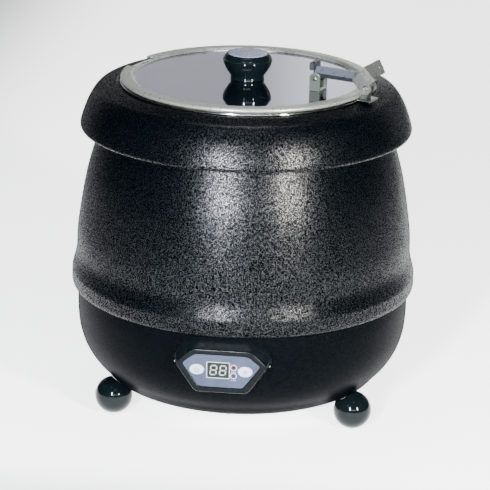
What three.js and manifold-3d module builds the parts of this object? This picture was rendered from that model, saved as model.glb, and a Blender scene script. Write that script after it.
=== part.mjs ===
// A free-standing electric soup kettle: a black bowl-shaped casing on three ball feet, a water pan and
// heater inside, a lift-out soup pot, and a stainless lid on a two-pin hinge arm clipped to the pot rim.
// Millimetres, +Z up, the origin on the floor under the middle, the control panel facing -Y.
import * as THREE from 'three';
import { mergeVertices } from 'three/addons/utils/BufferGeometryUtils.js';
import Module from 'manifold-3d';

const wasm = await Module();
wasm.setup();

// ---- driving dimensions ----
const GAP = 0.3; // left between pieces that touch
const SHEET = 1.6; // casing sheet
const TURNS = 36; // facets round the casing, the lid and the plates
const INNER_TURNS = 24; // facets round the pans inside it

const BASE_Z = 21.4; // flat underside of the bowl
const BASE_OPENING_R = 92;
const SKIRT_R = 171; // widest point of the kettle
const SEAM_Z = 123.8; // where the upper casing overlaps the bowl
const SHELL_TOP_Z = 283.7;
const SHELL_TOP_R = 142;

const FOOT_R = 18.75;
const FOOT_CENTRE = 137.5; // from the axis
const FOOT_Z = 18.3; // leaves a small flat where the ball stands
const FOOT_AZIMUTHS = [-30, -150, 90];
const FOOT_TILT = 25.3; // how far the foot stud leans in, degrees from upright

const POT_R = 120.5; // outside of the pot wall
const POT_BOTTOM_Z = 92;
const POT_RIM_R = 124.2;
const POT_RIM_Z = 327.3; // underside of the pot rim
const POT_RIM_THICK = 2;

const LID_R = 124;
const LID_Z = 331.5; // top of the flat middle of the lid
const LID_THICK = 1.2;
const LID_RIM_TOP = 334.5;
const NOTCH_AZIMUTH = 162;
const NOTCH_WIDTH = 46;
const NOTCH_CHORD = 111.2; // straight inner edge of the ladle notch, from the axis

const HINGE_AZIMUTH = -22; // direction in which the hinge arm lies
const OUTER_PIN_R = 130.5;
const OUTER_PIN_Z = 341.6;
const INNER_PIN_R = 77.5;
const INNER_PIN_Z = 344;
const PIN_R = 2.3;
const PIN_HOLE_R = 2.65;
const ARM_HALF_WIDTH = 6.4;
const ARM_SHEET = 1.1;

const PANEL_Y = -172; // front of the label
const PANEL_MID_Z = 97.7; // height of the label's widest line
const BUTTON_Z = 92;
const BUTTON_X = 23;
const BUTTON_TRAVEL = 0.6;

const HEATER_RING_R = 80;
const PAN_BOTTOM_Z = 60;
const TIE_BOLT_R = 50;
const TIE_AZIMUTHS = [30, 150, 270];

// ---- colours ----
const paint = (color, roughness, metalness) => new THREE.MeshStandardMaterial({ color, roughness, metalness });
const TEXTURED_BLACK = [0x23272a, 0.55, 0.1];
const GLOSS_BLACK = [0x101214, 0.12, 0];
const SATIN_BLACK = [0x191c1e, 0.4, 0];
const STEEL = [0xc9ccd6, 0.12, 1];
const BRUSHED = [0xb4b8c0, 0.35, 1];
const ZINC = [0xa7abb0, 0.4, 1];
const LABEL_BLUE = [0x7d8b9c, 0.5, 0];
const GREY_PLASTIC = [0xb9bdc4, 0.45, 0];
const BOARD_GREEN = [0x1e5c3a, 0.5, 0];
const DARK_RUBBER = [0x141414, 0.8, 0];

// ---- geometry helpers ----
const radians = THREE.MathUtils.degToRad;
const vec = (x, y) => new THREE.Vector2(x, y);

// A closed, outward-facing solid for manifold-3d from any three.js geometry.
function solid(geometry) {
  const bare = geometry.clone();
  bare.deleteAttribute('normal');
  bare.deleteAttribute('uv');
  const merged = mergeVertices(bare, 1e-4);
  const corners = merged.index.array;
  const points = merged.attributes.position.array;
  const kept = [];
  let volume = 0;
  const at = (i) => new THREE.Vector3().fromArray(points, i * 3);
  for (let i = 0; i < corners.length; i += 3) {
    const [a, b, c] = [corners[i], corners[i + 1], corners[i + 2]];
    if (a === b || b === c || a === c) continue;
    kept.push(a, b, c);
    volume += at(a).dot(at(b).cross(at(c)));
  }
  if (volume < 0) kept.reverse();
  const mesh = new wasm.Mesh({
    numProp: 3,
    vertProperties: Float32Array.from(points),
    triVerts: Uint32Array.from(kept),
  });
  return new wasm.Manifold(mesh);
}

function geometryOf(body) {
  const mesh = body.getMesh();
  const geometry = new THREE.BufferGeometry();
  geometry.setAttribute('position', new THREE.BufferAttribute(mesh.vertProperties, 3));
  geometry.setIndex(new THREE.BufferAttribute(mesh.triVerts, 1));
  geometry.computeVertexNormals();
  return geometry;
}

// The smallest convex solid round several geometries.
const stretchedOver = (geometries) => geometryOf(wasm.Manifold.hull(geometries.map(solid)));

// Joins the first list and cuts the second list from it.
function shaped(joined, cuts = []) {
  let body = solid(joined[0]);
  for (const extra of joined.slice(1)) body = body.add(solid(extra));
  for (const cut of cuts) body = body.subtract(solid(cut));
  return geometryOf(body);
}

// Turns an outline of [radius, height] points about Z. An outline off the axis is closed on itself.
function turned(outline, facets = TURNS) {
  const points = outline.map(([r, z]) => vec(r, z));
  const onAxis = outline[0][0] === 0 && outline.at(-1)[0] === 0;
  if (!onAxis) points.push(points[0].clone());
  return new THREE.LatheGeometry(points, facets).rotateX(Math.PI / 2);
}

// An upright cylinder from height z0 to z1.
function post(radius, z0, z1, facets = 16) {
  const geometry = new THREE.CylinderGeometry(radius, radius, z1 - z0, facets).rotateX(Math.PI / 2);
  return geometry.translate(0, 0, (z0 + z1) / 2);
}

// A cylinder along Y from y0 to y1, through (x, z).
function rod(radius, y0, y1, x, z, facets = 16) {
  const geometry = new THREE.CylinderGeometry(radius, radius, y1 - y0, facets);
  return geometry.translate(x, (y0 + y1) / 2, z);
}

// A box between two corners.
function block(low, high) {
  const size = high.map((value, i) => value - low[i]);
  const middle = high.map((value, i) => (value + low[i]) / 2);
  return new THREE.BoxGeometry(...size).translate(...middle);
}

// Extrudes a shape drawn in X and Z along Y, from y0 to y1.
function slab(shape, y0, y1, curveSegments = 8) {
  const geometry = new THREE.ExtrudeGeometry(shape, { depth: y1 - y0, bevelEnabled: false, curveSegments });
  return geometry.rotateX(Math.PI / 2).translate(0, y1, 0);
}

const polygon = (points) => new THREE.Shape(points.map(([x, z]) => vec(x, z)));

// A polygon whose corners are rounded to one radius.
function roundedPolygon(points, radius) {
  const shape = new THREE.Shape();
  const corners = points.map(([x, z]) => vec(x, z));
  corners.forEach((corner, i) => {
    const before = corners.at(i - 1);
    const after = corners[(i + 1) % corners.length];
    const start = corner.clone().add(before.clone().sub(corner).setLength(radius));
    const end = corner.clone().add(after.clone().sub(corner).setLength(radius));
    if (i === 0) shape.moveTo(start.x, start.y);
    else shape.lineTo(start.x, start.y);
    shape.quadraticCurveTo(corner.x, corner.y, end.x, end.y);
  });
  shape.closePath();
  return shape;
}

// Copies of a geometry turned about Z to each azimuth.
const around = (azimuths, geometry) => azimuths.map((a) => geometry.clone().rotateZ(radians(a)));

const kettle = new THREE.Group();

function addTo(group, name, geometry, look, place = {}) {
  const mesh = new THREE.Mesh(geometry, paint(...look));
  mesh.name = name;
  mesh.position.set(...(place.at ?? [0, 0, 0]));
  mesh.rotation.set(...(place.turn ?? [0, 0, 0]));
  group.add(mesh);
  return mesh;
}

const add = (name, geometry, look, place) => addTo(kettle, name, geometry, look, place);

// A group whose X axis points out from the axis of the kettle at an azimuth.
function spoke(azimuth, parent = kettle) {
  const group = new THREE.Group();
  group.rotation.z = radians(azimuth);
  parent.add(group);
  return group;
}

// ---- casing ----
const bowlOutline = [
  [107, BASE_Z], [122, 27.4], [134.7, 33.4], [141.8, 41.4], [150.7, 51.4], [158.2, 64.4],
  [162.9, 79.4], [164.6, 94.4], [164.8, 109.4], [164, 121], [163.6, 136],
];

// The bowl's outside, grown by a margin, as one solid of revolution.
function bowlBlank(margin) {
  const outside = bowlOutline.map(([r, z], i) => [r + margin, i === 0 ? z - margin : z - margin * 0.7]);
  return turned([[0, BASE_Z - margin], ...outside, [0, 136]], TURNS);
}

// Axis of a foot stud: from the ball's middle, leaning in towards the bowl.
function footAxis(geometry) {
  return geometry.rotateY(radians(-FOOT_TILT)).translate(FOOT_CENTRE, 0, FOOT_Z);
}

const PANEL_WINDOW = [[-35, 82], [-36.5, 103.5], [36.5, 103.5], [35, 82]];
const PANEL_SCREW = { x: 44.5, z: 96 };
const GLAND = { azimuth: 90, z: 102, r: 164.7, hole: 8.4 };

// Geometry drawn along +Z from the bowl wall at the cord inlet, turned to point outwards.
function glandAxis(geometry) {
  geometry.rotateY(radians(90)).translate(GLAND.r, 0, GLAND.z);
  return geometry.rotateZ(radians(GLAND.azimuth));
}

function lowerShell() {
  const inside = bowlOutline.filter((_, i) => i % 2 === 0).map(([r, z]) => (
    [r - SHEET * 0.95, z < 60 ? z + SHEET * 0.9 : z]
  ));
  const opening = [[BASE_OPENING_R, BASE_Z + SHEET], [BASE_OPENING_R, BASE_Z]];
  const wall = turned([...bowlOutline, ...inside.reverse(), ...opening]);
  const screwX = PANEL_SCREW.x;
  return shaped([wall], [
    ...around(FOOT_AZIMUTHS, footAxis(post(2.9, 12, 24, 16))),
    ...around(TIE_AZIMUTHS, post(2, BASE_Z - 2, BASE_Z + 4, 12).translate(98, 0, 0)),
    slab(polygon(PANEL_WINDOW), -175, -140),
    rod(2, -170, -140, screwX, PANEL_SCREW.z, 12),
    rod(2, -170, -140, -screwX, PANEL_SCREW.z, 12),
    glandAxis(post(GLAND.hole, -8, 6, 24)),
  ]);
}

function upperShell() {
  return turned([
    [165.4, SEAM_Z], [167, SEAM_Z], [169.6, 125.2], [SKIRT_R, 129], [SKIRT_R, 139.4], [169.3, 144.5],
    [166.8, 150], [166.5, 162], [165.4, 179.4], [162.8, 199.4], [159.6, 219.4], [155.6, 239.4],
    [150.1, 259.4], [145, 274.5], [SHELL_TOP_R, SHELL_TOP_Z], [133, SHELL_TOP_Z], [133, SHELL_TOP_Z - 1.5],
    [140.6, SHELL_TOP_Z - 1.5], [148.5, 259], [158, 219.2], [163.8, 176], [165.1, 150.4], [169.4, 139],
    [169.4, 129.6], [165.4, 125.4],
  ]);
}

function collar() {
  return turned([
    [160.3, 284.2], [162, 284.2], [163, 286.4], [161.5, 292.4], [158.5, 301.4], [155, 309.4], [151, 316.4],
    [147, 321.4], [143.6, 323.5], [129.6, 327.7], [128, 328], [126.4, 327.6], [125.6, 327], [121.6, 327],
    [121.6, 325], [134, 321.6], [134, 287.6], [139.5, 287.6], [139.5, 290], [136.2, 290], [136.2, 320.6],
    [143, 319.2], [149, 314.4], [156.4, 300.2], [160.6, 287],
  ]);
}

function collarSeal() {
  return turned([[134.3, 285.6], [139.4, 285.6], [139.4, 287.2], [134.3, 287.2]]);
}

function basePlate() {
  const slot = block([60, -3, 15], [84, 3, 25]);
  const slots = around([0, 60, 90, 120, 180, 210, 240, 300, 330], slot);
  return shaped([post(103, 19.6, BASE_Z - GAP, TURNS)], [
    ...slots,
    ...around(TIE_AZIMUTHS, post(2, 15, 25, 12).translate(98, 0, 0)),
    ...around(TIE_AZIMUTHS, post(3.4, 15, 25, 16).translate(TIE_BOLT_R, 0, 0)),
  ]);
}

function baseScrew() {
  return turned([[0, 17.6], [3, 17.6], [3.3, 18.4], [3.3, 19.3], [1.7, 19.3], [1.7, 25.5], [0, 25.5]], 12);
}

// ---- water pan and heater ----
function waterPan() {
  return turned([
    [0, PAN_BOTTOM_Z], [118, PAN_BOTTOM_Z], [127, 63], [131, 72], [131, 284], [141, 284], [141, 285.2],
    [129.8, 285.2], [129.8, 72.4], [126.2, 64.2], [117.6, 61.2], [0, 61.2],
  ], INNER_TURNS);
}

const RING_GAP_HALF_ANGLE = 6; // degrees, between the two cold ends of the element

function heatingRing() {
  const ring = new THREE.TorusGeometry(HEATER_RING_R, 4.2, 6, 32).translate(0, 0, 55.4);
  const ends = around([180 - RING_GAP_HALF_ANGLE - 2, 180 + RING_GAP_HALF_ANGLE + 2],
    post(3, 38, 55, 12).translate(HEATER_RING_R, 0, 0));
  const halfGap = HEATER_RING_R * Math.tan(radians(RING_GAP_HALF_ANGLE));
  return shaped([ring, ...ends], [block([-90, -halfGap, 50], [-70, halfGap, 62])]);
}

function heaterPlate() {
  const plate = post(104, 49.2, 50.8, TURNS);
  const terminals = [180 - RING_GAP_HALF_ANGLE - 2, 180 + RING_GAP_HALF_ANGLE + 2];
  return shaped([plate], [
    post(6, 45, 55, 16),
    post(10, 45, 55, 16).translate(0, 32, 0),
    ...around(terminals, post(4, 45, 55, 12).translate(HEATER_RING_R, 0, 0)),
    ...around(TIE_AZIMUTHS, post(3.4, 45, 55, 16).translate(TIE_BOLT_R, 0, 0)),
  ]);
}

function tieBolt() {
  const head = post(5.8, 51.1, 55, 6);
  return shaped([head, post(3, 12.4, 52, 16)]);
}

function tieNut() {
  return shaped([post(5.8, 14.6, 19.3, 6)], [post(3.3, 14, 20, 16)]);
}

function temperatureSensor() {
  return turned([[0, 40], [3.2, 40], [3.2, 51], [4.4, 53], [4.4, 59.6], [0, 59.6]], 20);
}

function thermalCutout() {
  const can = post(8, 52.4, 59.6, 24);
  const collarRing = post(9.2, 50.4, 53, 24);
  const tabs = [-3.2, 3.2].map((x) => block([x - 2.5, -0.4, 42], [x + 2.5, 0.4, 51]));
  return shaped([can, collarRing, post(6, 46, 51, 24), ...tabs]);
}

function terminalBlock() {
  const body = block([-24, -9, BASE_Z], [24, 9, 37]);
  const wells = [-16, 0, 16].map((x) => post(3.4, 32, 40, 16).translate(x, 0, 0));
  const ways = [-16, 0, 16].map((x) => rod(2.2, -12, 12, x, 27, 12));
  return shaped([body], [...wells, ...ways]);
}

function earthStud() {
  return turned([[0, BASE_Z], [5, BASE_Z], [5, 24.4], [2.4, 24.4], [2.4, 34], [0, 34]], 20);
}

// ---- cord inlet ----
function cordGland() {
  return glandAxis(turned([
    [4.4, -9], [8, -9], [8, 0.6], [13, 0.6], [13, 2.6], [9.4, 3.2], [8.2, 6], [4.4, 6],
  ], 24));
}

function glandNut() {
  const nut = post(11.5, -8, -4, 6);
  return glandAxis(shaped([nut], [post(8.3, -10, 0, 24)]));
}

// ---- feet ----
function footBall() {
  const ball = new THREE.SphereGeometry(FOOT_R, 16, 10).rotateX(Math.PI / 2).translate(FOOT_CENTRE, 0, FOOT_Z);
  const floor = block([100, -30, -10], [170, 30, 0]);
  return shaped([ball], [bowlBlank(GAP), floor, footAxis(post(3.3, 2, 20, 16))]);
}

function footStud() {
  return footAxis(post(2.6, 2.4, 23.5, 16));
}

function footNut() {
  return footAxis(shaped([post(4.7, 18.4, 22, 6)], [post(2.9, 15, 30, 16)]));
}

// ---- control panel ----
// The label's outline: two long slopes meet at its widest line, with short slopes to the top edge.
function panelOutline(grow, corner) {
  const top = PANEL_MID_Z + 9.3 + grow;
  const bottom = PANEL_MID_Z - 22.7 - grow;
  const half = [25.2 + grow * 0.55, 37.3 + grow * 1.25, 20.8 + grow * 0.75];
  return roundedPolygon([
    [-half[2], bottom], [half[2], bottom], [half[1], PANEL_MID_Z], [half[0], top], [-half[0], top],
    [-half[1], PANEL_MID_Z],
  ], corner);
}

function oval(halfWidth, halfHeight, x, z) {
  const shape = new THREE.Shape();
  shape.absellipse(x, z, halfWidth, halfHeight, 0, Math.PI * 2);
  return shape;
}

const WINDOW = { x: -2.7, z: 92.2, halfWidth: 11.2, halfHeight: 8.3 };
const INDICATORS = [[12, 95.4], [12, 87.2]];
const BOSS = { x: 30, z: 99 }; // posts behind the housing that carry the circuit board

function windowBlock(grow, y0, y1) {
  const { x, z, halfWidth, halfHeight } = WINDOW;
  const [width, height] = [halfWidth + grow, halfHeight + grow];
  return block([x - width, y0, z - height], [x + width, y1, z + height]);
}

// Openings for the buttons and indicators, through whatever lies between y0 and y1.
function panelHoles(y0, y1, grow) {
  const buttons = [-BUTTON_X, BUTTON_X].map((x) => slab(oval(7 + grow, 5.2 + grow, x, BUTTON_Z), y0, y1, 6));
  const lamps = INDICATORS.map(([x, z]) => rod(2 + grow, y0, y1, x, z, 16));
  return [...buttons, ...lamps];
}

// Where the housing meets the bowl it is fuller than its face, with an arched top.
const FLARE = [[-28, 66], [28, 66], [50.5, 98], [48, 112], [30, 124.5], [-30, 124.5], [-48, 112], [-50.5, 98]];

function controlHousing() {
  const face = slab(panelOutline(5.5, 5), PANEL_Y - 0.6, -170.5);
  const flare = slab(roundedPolygon(FLARE, 5), -160, -140, 4);
  const cavity = block([-34, -168.6, 82], [34, -130, 103]);
  const bosses = [-BOSS.x, BOSS.x].map((x) => rod(2.6, -170, -158.3, x, BOSS.z, 12));
  const body = shaped([stretchedOver([face, flare])], [
    bowlBlank(GAP),
    cavity,
    slab(panelOutline(GAP, 3), -190, PANEL_Y + 1.1),
    windowBlock(GAP, -190, -160),
    ...panelHoles(-190, -160, GAP),
    ...[-1, 1].map((side) => rod(1.5, -166, -140, side * PANEL_SCREW.x, PANEL_SCREW.z, 12)),
  ]);
  return shaped([body, ...bosses], [-BOSS.x, BOSS.x].map((x) => rod(1.2, -164, -150, x, BOSS.z, 12)));
}

function controlLabel() {
  const plate = slab(panelOutline(0, 3), PANEL_Y, PANEL_Y + 0.8);
  return shaped([plate], [windowBlock(GAP, -180, -165), ...panelHoles(-180, -165, GAP)]);
}

function displayModule() {
  const { x, z } = WINDOW;
  return block([x - 11, -169.4, z - 8], [x + 11, -158.3, z + 8]);
}

function controlBoard() {
  const board = slab(roundedPolygon([[-33, 83], [33, 83], [33, 102], [-33, 102]], 2), -158, -156.4);
  return shaped([board], [-BOSS.x, BOSS.x].map((x) => rod(1.5, -170, -150, x, BOSS.z, 12)));
}

function boardScrew(x) {
  return shaped([rod(0.9, -162, -156, x, BOSS.z, 12), rod(2.2, -156.1, -154.8, x, BOSS.z, 16)]);
}

function panelScrew(x) {
  const { z } = PANEL_SCREW;
  return shaped([rod(1.2, -164, -154, x, z, 12), rod(3, -154.4, -152.4, x, z, 16)]);
}

function tactSwitch(x) {
  const body = block([x - 3, -162, BUTTON_Z - 3], [x + 3, -158.3, BUTTON_Z + 3]);
  return shaped([body, rod(1.7, -164.4, -161.5, x, BUTTON_Z, 16)]);
}

// An indicator lens: a small dome on a stem that reaches back to the board.
function indicatorLens(x, z) {
  const dome = [[0, -2.6], [1.2, -2.3], [2, -1.4]];
  const stem = [[2, 4], [2.8, 4], [2.8, 5], [1.5, 5], [1.5, 13], [0, 13]];
  const lens = turned([...dome, ...stem], 12);
  return lens.rotateX(-Math.PI / 2).translate(x, PANEL_Y + 0.6, z);
}

// A push button: an oval cap that is crowned in front, with a flange behind the housing wall and a plunger.
function pushButton(x) {
  const cap = slab(oval(7, 5.2, x, BUTTON_Z), PANEL_Y - 0.7, -167.2, 8);
  const crown = slab(oval(6.1, 4.4, x, BUTTON_Z), PANEL_Y - 1.1, -170, 8);
  const flange = slab(oval(8, 6.2, x, BUTTON_Z), -168.3, -166.8, 8);
  return shaped([cap, crown, flange, rod(1.4, -167, -165.2, x, BUTTON_Z, 16)]);
}

// ---- soup pot ----
function soupPot() {
  const rimTop = POT_RIM_Z + POT_RIM_THICK;
  const inner = POT_R - 1;
  return turned([
    [0, POT_BOTTOM_Z], [108.5, POT_BOTTOM_Z], [115.5, 94.4], [119.3, 98.8], [POT_R, 104], [POT_R, POT_RIM_Z - 1],
    [121, POT_RIM_Z], [POT_RIM_R, POT_RIM_Z], [POT_RIM_R, rimTop], [120.6, rimTop], [inner, rimTop - 1],
    [inner, 104.4], [118.3, 99.6], [114.9, 95.4], [108.3, 93], [0, 93],
  ], INNER_TURNS);
}

// ---- hinge, drawn in a group at the outer pin: X out along the arm, Y along the pins, Z up ----
const INNER_X = INNER_PIN_R - OUTER_PIN_R;
const INNER_Z = INNER_PIN_Z - OUTER_PIN_Z;
const CLIP_LEAF_Z = POT_RIM_Z + POT_RIM_THICK + GAP - OUTER_PIN_Z;

// A bracket's ear: a round top about (x, z) on a foot from x0 to x1 at the height low.
function ear(x, z, radius, low, x0, x1) {
  const shape = new THREE.Shape();
  shape.moveTo(x0, low);
  shape.lineTo(x1, low);
  shape.lineTo(x + radius, z);
  shape.absarc(x, z, radius, 0, Math.PI, false);
  shape.closePath();
  return shape;
}

function rimClip() {
  const leaf = block([-11.5, -9, CLIP_LEAF_Z], [6.5, 9, CLIP_LEAF_Z + 1]);
  const cheeks = [-4.4, 3.2].map((y) => slab(ear(0, 0, 4.6, CLIP_LEAF_Z + 0.4, -6.5, 1), y, y + 1.2));
  const hook = block([5.5, -9, CLIP_LEAF_Z - 1], [6.5, 9, CLIP_LEAF_Z + 0.5]);
  return shaped([leaf, hook, ...cheeks], [rod(PIN_HOLE_R, -10, 10, 0, 0)]);
}

function hingePin(half) {
  const end = PIN_R - 0.4;
  const chamfer = half - 0.4;
  const profile = [[0, -half], [end, -half], [PIN_R, -chamfer], [PIN_R, chamfer], [end, half], [0, half]];
  return turned(profile, 16).rotateX(Math.PI / 2);
}

// The arm's section across its length: two flanges joined by a roof with sloping shoulders.
function armSection(low, shoulder, roof) {
  const half = ARM_HALF_WIDTH;
  const inner = half - ARM_SHEET;
  const flat = 2.2;
  return polygon([
    [-half, low], [-half, shoulder], [-flat, roof], [flat, roof], [half, shoulder], [half, low],
    [inner, low], [inner, shoulder - 0.5], [flat - 0.5, roof - ARM_SHEET], [0.5 - flat, roof - ARM_SHEET],
    [-inner, shoulder - 0.5], [-inner, low],
  ]);
}

// A length of the arm's section along X, from x0 to x1.
function armLength(low, shoulder, roof, x0, x1) {
  const shape = armSection(low, shoulder, roof);
  const geometry = new THREE.ExtrudeGeometry(shape, { depth: x1 - x0, bevelEnabled: false });
  return geometry.rotateX(Math.PI / 2).rotateZ(Math.PI / 2).translate(x0, 0, 0);
}

const ARM_LOW = 4.2; // underside of the straight part, above the outer pin
const ARM_SHOULDER = 8;
const ARM_ROOF = 13.4;
const ELBOW = 45; // degrees, by which the outer end of the arm turns down to its pin
const ELBOW_LENGTH = 15.4;
const TAB_ROOF = 11.3; // outer face of the bent end, from the pin

function hingeArm() {
  const straight = armLength(ARM_LOW, ARM_SHOULDER, ARM_ROOF, INNER_X - 2.2, -9.5);
  const bent = armLength(-6, 6, TAB_ROOF, -ELBOW_LENGTH, 0);
  const roundEnd = rod(6, -ARM_HALF_WIDTH, ARM_HALF_WIDTH, 0, 0, 32);
  const hollow = block([-40, ARM_SHEET - ARM_HALF_WIDTH, -20], [20, ARM_HALF_WIDTH - ARM_SHEET, 5.6]);
  const ears = shaped([bent, roundEnd], [hollow, block([0, -20, 5.9], [20, 20, 30])]);
  const lift = block([-17, -2, TAB_ROOF - ARM_SHEET], [-6, 16, TAB_ROOF]);
  const elbow = [ears, lift].map((part) => part.rotateY(radians(ELBOW)));
  const wing = liftWing();
  const lugs = [-ARM_HALF_WIDTH, ARM_HALF_WIDTH - ARM_SHEET].map((y) => (
    slab(lugShape(), y, y + ARM_SHEET)
  ));
  const lip = block([INNER_X - 2.2, -ARM_HALF_WIDTH, ARM_SHOULDER - 2], [INNER_X - 1.1, ARM_HALF_WIDTH, 18.6]);
  return shaped([straight, ...elbow, wing, ...lugs, lip], [
    rod(PIN_HOLE_R, -10, 10, 0, 0),
    rod(PIN_HOLE_R, -10, 10, INNER_X, INNER_Z),
  ]);
}

// Side of the lug that reaches down from the arm's flange to the inner pin.
function lugShape() {
  const shape = new THREE.Shape();
  shape.moveTo(INNER_X - 2.2, ARM_SHOULDER - 1);
  shape.lineTo(INNER_X - 4.2, INNER_Z);
  shape.absarc(INNER_X, INNER_Z, 4.2, Math.PI, Math.PI * 2, false);
  shape.lineTo(INNER_X + 9, ARM_LOW + 0.4);
  shape.lineTo(INNER_X + 9, ARM_SHOULDER - 1);
  shape.closePath();
  return shape;
}

// The finger wing beside the bent end, steeper than it, with a small hole.
function liftWing() {
  const outline = roundedPolygon([[-7.3, 15.6], [7.3, 15.6], [7.3, 29], [-7.3, 29]], 2);
  const hole = new THREE.Path();
  hole.absarc(0, 23, 1.2, 0, Math.PI * 2);
  outline.holes.push(hole);
  const geometry = new THREE.ExtrudeGeometry(outline, { depth: ARM_SHEET, bevelEnabled: false, curveSegments: 5 });
  return geometry.rotateX(radians(4)).rotateY(radians(62)).translate(-1.6, 0, 13.4);
}

function armBumper() {
  const outline = roundedPolygon([[-4.3, 9.6], [0, 9.6], [0, 17.6], [-4.3, 17.6]], 1.9);
  return slab(outline, -ARM_HALF_WIDTH, ARM_HALF_WIDTH, 5).translate(INNER_X - 2.2 - GAP, 0, 0);
}

// ---- lid ----
const BRACKET_LOW = LID_Z + GAP - OUTER_PIN_Z;
const RIVET_Y = 3.4;

function lidBracket() {
  const foot = block([INNER_X - 5.5, -8.1, BRACKET_LOW], [INNER_X + 5.5, 8.1, BRACKET_LOW + 1.2]);
  const side = ear(INNER_X, INNER_Z, 5.5, BRACKET_LOW, INNER_X - 5.5, INNER_X + 5.5);
  const ears = [-8.1, 6.9].map((y) => slab(side, y, y + 1.2));
  const holes = [-RIVET_Y, RIVET_Y].map((y) => post(1.8, -20, 0, 16).translate(INNER_X, y, 0));
  return shaped([foot, ...ears], [rod(PIN_HOLE_R, -20, 20, INNER_X, INNER_Z), ...holes]);
}

function lidRivet() {
  const headLow = LID_Z + GAP + 1.2 + GAP;
  const tailTop = LID_Z - LID_THICK - GAP;
  return turned([
    [0, tailTop - 0.9], [2, tailTop - 0.9], [2.6, tailTop - 0.4], [2.6, tailTop], [1.5, tailTop], [1.5, headLow],
    [2.6, headLow], [2.4, headLow + 0.7], [1.4, headLow + 1.2], [0, headLow + 1.3],
  ], 16);
}

function lidPanel() {
  const disc = turned([
    [0, LID_Z], [109.5, LID_Z], [112, 334.2], [113.4, LID_RIM_TOP], [121.8, LID_RIM_TOP], [123.5, 333.7],
    [LID_R, 332.4], [123.7, 331.1], [122.8, 331.1], [122.7, 332.4], [121.4, 333.3], [114.4, 333.3],
    [113.2, 332.6], [113.2, 326], [112.1, 326], [112.1, 330.9], [109.9, LID_Z - LID_THICK], [0, LID_Z - LID_THICK],
  ]);
  const half = NOTCH_WIDTH / 2;
  const notch = new THREE.ExtrudeGeometry(
    roundedPolygon([[NOTCH_CHORD, -half], [140, -half], [140, half], [NOTCH_CHORD, half]], 5),
    { depth: 20, bevelEnabled: false, curveSegments: 5 },
  );
  notch.translate(0, 0, 320).rotateZ(radians(NOTCH_AZIMUTH));
  const rivetHoles = [-RIVET_Y, RIVET_Y].map((y) => (
    post(1.8, 320, 340, 16).translate(INNER_PIN_R, y, 0).rotateZ(radians(HINGE_AZIMUTH))
  ));
  return shaped([disc], [notch, ...rivetHoles, post(3.3, 320, 340, 20)]);
}

const KNOB_BASE_Z = LID_Z + GAP;
const KNOB_TOP_Z = 357.6;

function knob() {
  return turned([
    [3, KNOB_BASE_Z], [16.3, KNOB_BASE_Z], [16.6, 332.3], [16.5, 334.8], [17.2, 336.3], [18.9, 338.7],
    [20.7, 341.5], [22.4, 344.6], [23.5, 347.6], [23.9, 350.4], [23.8, 352.4], [22.4, 355.2],
    [20.4, KNOB_TOP_Z - 0.6],
    [19.7, KNOB_TOP_Z - 0.6], [19.7, 355.2], [7, 355.2], [7, 340], [3, 340],
  ], INNER_TURNS);
}

function knobInsert() {
  return turned([
    [0, 355.5], [19.35, 355.5], [19.35, KNOB_TOP_Z - 0.4], [18.9, KNOB_TOP_Z], [0, KNOB_TOP_Z],
  ], INNER_TURNS);
}

function knobScrew() {
  return shaped([post(2.6, 329, 341, 16), post(5.4, 340.4, 344.4, 24), post(5.2, 326.6, 329.9, 6)]);
}

// ---- assembly ----
add('lower_shell', lowerShell(), TEXTURED_BLACK);
add('upper_shell', upperShell(), TEXTURED_BLACK);
add('collar', collar(), TEXTURED_BLACK);
add('collar_seal', collarSeal(), DARK_RUBBER);
add('base_plate', basePlate(), ZINC);
add('water_pan', waterPan(), BRUSHED);
add('heating_ring', heatingRing(), ZINC);
add('heater_plate', heaterPlate(), ZINC);
add('temperature_sensor', temperatureSensor(), BRUSHED);
add('thermal_cutout', thermalCutout(), SATIN_BLACK, { at: [0, 32, 0] });
add('terminal_block', terminalBlock(), GREY_PLASTIC, { at: [-38, -52, 0] });
add('earth_stud', earthStud(), ZINC, { at: [0, -68, 0] });
add('cord_gland', cordGland(), SATIN_BLACK);
add('cord_gland_nut', glandNut(), SATIN_BLACK);

TIE_AZIMUTHS.forEach((azimuth, i) => {
  const arm = spoke(azimuth);
  addTo(arm, `tie_bolt_${i + 1}`, tieBolt(), ZINC, { at: [TIE_BOLT_R, 0, 0] });
  addTo(arm, `tie_nut_${i + 1}`, tieNut(), ZINC, { at: [TIE_BOLT_R, 0, 0] });
  addTo(arm, `base_screw_${i + 1}`, baseScrew(), ZINC, { at: [98, 0, 0] });
});

FOOT_AZIMUTHS.forEach((azimuth, i) => {
  const arm = spoke(azimuth);
  addTo(arm, `foot_ball_${i + 1}`, footBall(), GLOSS_BLACK);
  addTo(arm, `foot_stud_${i + 1}`, footStud(), ZINC);
  addTo(arm, `foot_nut_${i + 1}`, footNut(), ZINC);
});

add('control_housing', controlHousing(), SATIN_BLACK);
add('control_label', controlLabel(), LABEL_BLUE);
add('display_window', windowBlock(0, PANEL_Y - 0.2, -169.7), GREY_PLASTIC);
add('display_module', displayModule(), SATIN_BLACK);
add('control_board', controlBoard(), BOARD_GREEN);
INDICATORS.forEach(([x, z], i) => add(`indicator_lens_${i + 1}`, indicatorLens(x, z), GREY_PLASTIC));
[-BUTTON_X, BUTTON_X].forEach((x, i) => {
  add(['power_button', 'set_button'][i], pushButton(x), GREY_PLASTIC);
  add(`tact_switch_${i + 1}`, tactSwitch(x), SATIN_BLACK);
  add(`board_screw_${i + 1}`, boardScrew(Math.sign(x) * BOSS.x), ZINC);
  add(`panel_screw_${i + 1}`, panelScrew(Math.sign(x) * PANEL_SCREW.x), ZINC);
});

add('soup_pot', soupPot(), STEEL);

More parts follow.
